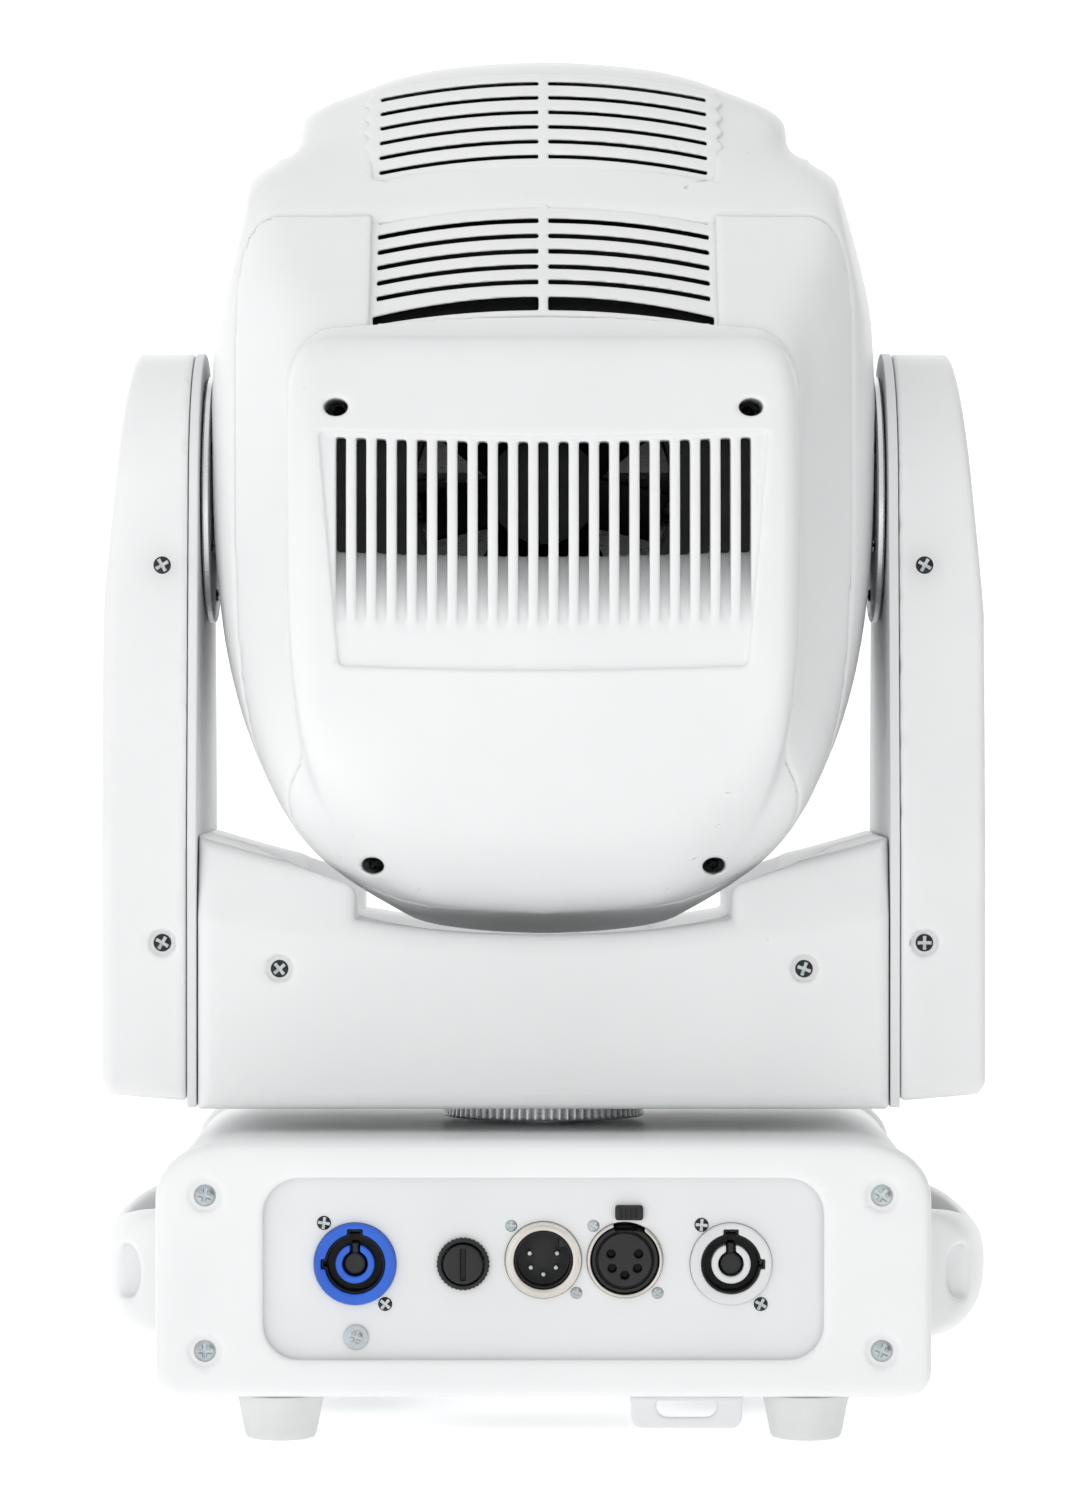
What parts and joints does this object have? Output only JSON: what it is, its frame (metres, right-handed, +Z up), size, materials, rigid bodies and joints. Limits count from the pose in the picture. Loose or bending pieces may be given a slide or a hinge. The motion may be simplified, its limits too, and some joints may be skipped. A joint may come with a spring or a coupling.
{
  "type": "moving head light",
  "caption": "Stage wash light: a lens-array head with rear fan cover tilts in a two-armed yoke that pans on a base with rear connectors.",
  "frame": {"origin": "on the floor under the pan axis, midway between the two end caps", "axes": "+Z up along the pan axis, -Y out of the connector panel, +Y along the beam at rest, +X to the right seen from the connector panel"},
  "size_m": [0.2882, 0.23, 0.4365],
  "materials": {
    "white_shell": "satin white moulding",
    "white_metal": "fine white powder coat",
    "foot_rubber": "pale matt rubber",
    "blue_plastic": "satin blue",
    "white_plastic": "satin pale grey",
    "nickel": "satin nickel",
    "black_plastic": "satin black",
    "display_glass": "dark gloss",
    "lens_glass": "clear gloss",
    "circuit_board": "solder mask",
    "zinc_steel": "zinc plate",
    "aluminium": "satin",
    "motor_black": "black lacquer",
    "belt_rubber": "matt"
  },
  "bodies": {
    "base": {"base_housing": "white_shell", "base_bottom_plate": "white_metal", "rear_end_cap": "white_shell", "connector_panel": "white_metal", "power_inlet": "blue_plastic", "power_outlet": "white_plastic", "data_inlet": "nickel", "data_outlet": "black_plastic", "fuse_holder": "black_plastic", "front_end_cap": "white_shell", "display_window": "display_glass", "control_board": "circuit_board", "foot_1": "foot_rubber", "foot_2": "foot_rubber", "foot_3": "foot_rubber", "foot_4": "foot_rubber", "safety_loop": "white_metal", "clamp_seat_left": "zinc_steel", "clamp_seat_right": "zinc_steel", "handle_left": "white_shell", "handle_right": "white_shell", "power_supply": "aluminium", "pan_shaft": "zinc_steel", "pan_pulley": "aluminium"},
    "yoke": {"yoke_cover_rear": "white_shell", "yoke_cover_front": "white_shell", "yoke_chassis": "aluminium", "arm_plate_left": "white_metal", "arm_plate_right": "white_metal", "arm_cover_left": "white_shell", "arm_cover_right": "white_shell", "tilt_bearing_left": "zinc_steel", "tilt_bearing_right": "zinc_steel", "pan_bearing": "zinc_steel", "pan_belt": "belt_rubber", "pan_motor": "motor_black", "tilt_belt": "belt_rubber", "tilt_motor": "motor_black"},
    "head": {"head_main_shell": "white_shell", "head_rear_shell": "white_shell", "head_rear_cover": "white_shell", "lens_bezel": "black_plastic", "lens_plate": "black_plastic", "lens_array": "lens_glass", "led_board": "circuit_board", "heat_sink": "aluminium", "head_frame": "aluminium", "fan_frame": "black_plastic", "tilt_shaft_left": "aluminium", "tilt_shaft_right": "aluminium", "tilt_pulley": "aluminium"},
    "fan": {"fan_rotor": "black_plastic"},
    "pan_pinion": {"pan_pinion": "aluminium"},
    "tilt_pinion": {"tilt_pinion": "aluminium"},
    "release_tab": {"data_release_tab": "black_plastic"},
    "fuse_cap": {"fuse_cap": "black_plastic"},
    "menu_key_1": {"menu_key_1": "black_plastic"},
    "menu_key_2": {"menu_key_2": "black_plastic"},
    "menu_key_3": {"menu_key_3": "black_plastic"},
    "menu_key_4": {"menu_key_4": "black_plastic"}
  },
  "joints": [
    {"name": "pan", "type": "hinge", "parent": "base", "child": "yoke", "pos_m": [0, 0, 0.1], "axis": [0, 0, 1], "range_deg": [-270, 270]},
    {"name": "tilt", "type": "hinge", "parent": "yoke", "child": "head", "pos_m": [0, 0, 0.292], "axis": [1, 0, 0], "range_deg": [-45, 225]},
    {"name": "pan_pinion_spin", "type": "hinge", "parent": "yoke", "child": "pan_pinion", "pos_m": [-0.06, 0, 0.107], "axis": [0, 0, 1], "continuous": true},
    {"name": "tilt_pinion_spin", "type": "hinge", "parent": "yoke", "child": "tilt_pinion", "pos_m": [0.122, 0, 0.127], "axis": [1, 0, 0], "continuous": true},
    {"name": "fan_spin", "type": "hinge", "parent": "head", "child": "fan", "pos_m": [0, -0.08, 0.292], "axis": [0, 1, 0], "continuous": true},
    {"name": "fuse_cap_turn", "type": "hinge", "parent": "base", "child": "fuse_cap", "pos_m": [-0.0245, -0.11, 0.0547], "axis": [0, -1, 0], "range_deg": [0, 90]},
    {"name": "release_tab_press", "type": "slide", "parent": "base", "child": "release_tab", "axis": [0, 1, 0], "range_m": [0, 0.0015], "stiffness_N_per_m": 500},
    {"name": "menu_key_1_press", "type": "slide", "parent": "base", "child": "menu_key_1", "axis": [0, -1, 0], "range_m": [0, 0.0012], "stiffness_N_per_m": 500},
    {"name": "menu_key_2_press", "type": "slide", "parent": "base", "child": "menu_key_2", "axis": [0, -1, 0], "range_m": [0, 0.0012], "stiffness_N_per_m": 500},
    {"name": "menu_key_3_press", "type": "slide", "parent": "base", "child": "menu_key_3", "axis": [0, -1, 0], "range_m": [0, 0.0012], "stiffness_N_per_m": 500},
    {"name": "menu_key_4_press", "type": "slide", "parent": "base", "child": "menu_key_4", "axis": [0, -1, 0], "range_m": [0, 0.0012], "stiffness_N_per_m": 500}
  ],
  "couplings": [
    {"joint": "pan_pinion_spin", "follows": "pan", "ratio": -5},
    {"joint": "tilt_pinion_spin", "follows": "tilt", "ratio": 4.5455}
  ]
}
